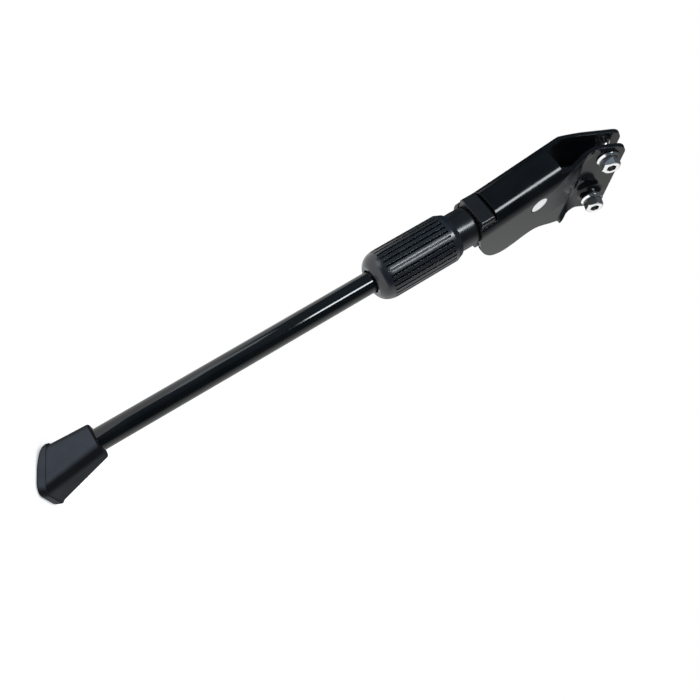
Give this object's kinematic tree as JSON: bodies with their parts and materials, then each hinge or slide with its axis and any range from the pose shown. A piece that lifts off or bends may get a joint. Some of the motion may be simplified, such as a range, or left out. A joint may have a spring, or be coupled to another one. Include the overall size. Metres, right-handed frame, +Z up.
{
  "type": "bicycle kickstand",
  "caption": "Folding bicycle kickstand: a pressed bracket bolts to a frame tab and carries a spring-held leg with a twist-locked telescopic rod and a rubber foot.",
  "frame": {"origin": "on the inner face of the inboard plate, where the frame's tab seats, midway between the two bolts", "axes": "+X forward along the bicycle, +Y outboard along the bolts, +Z up; the leg is swung down"},
  "size_m": [0.0645, 0.1673, 0.3258],
  "materials": {
    "painted_steel": "gloss",
    "painted_alloy": "gloss",
    "zinc_steel": "polished",
    "spring_steel": "satin",
    "black_nylon": "satin",
    "black_rubber": "matte"
  },
  "bodies": {
    "bracket_body": {"bracket": "painted_steel", "pivot_rivet": "zinc_steel", "stop_block": "painted_steel", "front_bolt": "zinc_steel", "rear_bolt": "zinc_steel", "front_nut": "zinc_steel", "rear_nut": "zinc_steel"},
    "upper_leg": {"leg_head": "painted_alloy", "clamp_collet": "black_nylon", "detent_spring": "spring_steel"},
    "plunger": {"detent_plunger": "zinc_steel"},
    "sleeve": {"lock_sleeve": "black_nylon"},
    "lower_leg": {"leg_rod": "painted_alloy", "rod_stop_bush": "black_nylon", "foot": "black_rubber"}
  },
  "joints": [
    {"name": "leg_fold", "type": "hinge", "parent": "bracket_body", "child": "upper_leg", "pos_m": [0.0155, 0.0238, -0.0522], "axis": [0, 0.9063, 0.4226], "range_deg": [0, 90]},
    {"name": "plunger_slide", "type": "slide", "parent": "upper_leg", "child": "plunger", "axis": [0, -0.4226, 0.9063], "range_m": [-0.0025, 0], "stiffness_N_per_m": 8000, "springref_m": 0.004, "deforming": ["detent_spring"]},
    {"name": "sleeve_twist", "type": "hinge", "parent": "upper_leg", "child": "sleeve", "pos_m": [0.012, 0.05677, -0.12289], "axis": [0, -0.4226, 0.9063], "range_deg": [0, 150]},
    {"name": "rod_extend", "type": "slide", "parent": "upper_leg", "child": "lower_leg", "axis": [0, 0.4226, -0.9063], "range_m": [-0.034, 0.016]}
  ]
}
